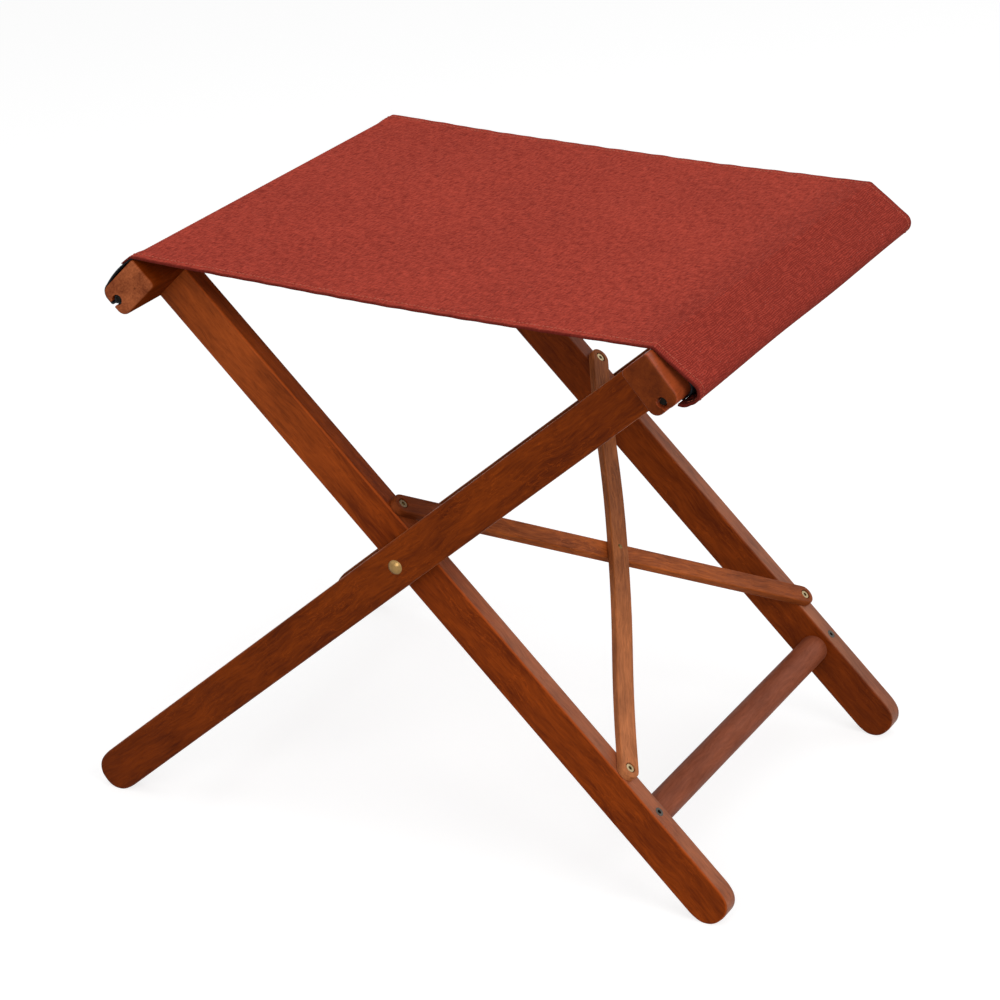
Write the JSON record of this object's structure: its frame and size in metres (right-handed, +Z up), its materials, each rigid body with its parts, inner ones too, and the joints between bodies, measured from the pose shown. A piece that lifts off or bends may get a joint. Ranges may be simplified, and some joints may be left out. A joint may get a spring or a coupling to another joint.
{
  "type": "folding sling stool",
  "caption": "Folding stool with two crossed wooden leg frames that turn on brass bolts, diagonal slat braces and a canvas seat slung between the top rails.",
  "frame": {"origin": "on the floor at the bottom centre of the object's box when it stands open: under the pivots, half way along the rails, 11 mm in front of the middle between the legs", "axes": "+X across the seat towards the outer frame's top rail, +Y along the rails towards the back, +Z up"},
  "size_m": [0.5758, 0.466, 0.4994],
  "materials": {
    "stained_wood": "red-brown stained hardwood, satin varnish",
    "dark_wood": "darker stained round bar, matt",
    "canvas": "brick red cotton canvas, plain weave",
    "black_webbing": "black woven webbing",
    "brass": "lacquered brass, slightly dulled",
    "dark_steel": "dark oxidised steel"
  },
  "bodies": {
    "outer_frame": {"outer_leg_front": "stained_wood", "outer_leg_back": "stained_wood", "right_rail": "stained_wood", "outer_stretcher": "dark_wood", "outer_stretcher_screws": "dark_steel", "pivot_bolt_front": "brass", "pivot_bolt_back": "brass", "pivot_spacers": "brass", "nut_washers": "brass", "cap_nuts": "brass", "seat_sling": "canvas", "right_sleeve": "black_webbing", "right_rod": "dark_steel"},
    "inner_frame": {"inner_leg_front": "stained_wood", "inner_leg_back": "stained_wood", "left_rail": "stained_wood", "inner_stretcher": "dark_wood", "inner_stretcher_screws": "dark_steel", "brace_straight": "stained_wood", "brace_bowed": "stained_wood", "brace_screws": "brass", "brace_rivet": "brass", "left_sleeve": "black_webbing", "left_rod": "dark_steel"}
  },
  "joints": [
    {"name": "fold", "type": "hinge", "parent": "outer_frame", "child": "inner_frame", "pos_m": [0, 0, 0.26569], "axis": [0, 1, 0], "range_deg": [0, 86], "deforming": ["seat_sling"]}
  ]
}
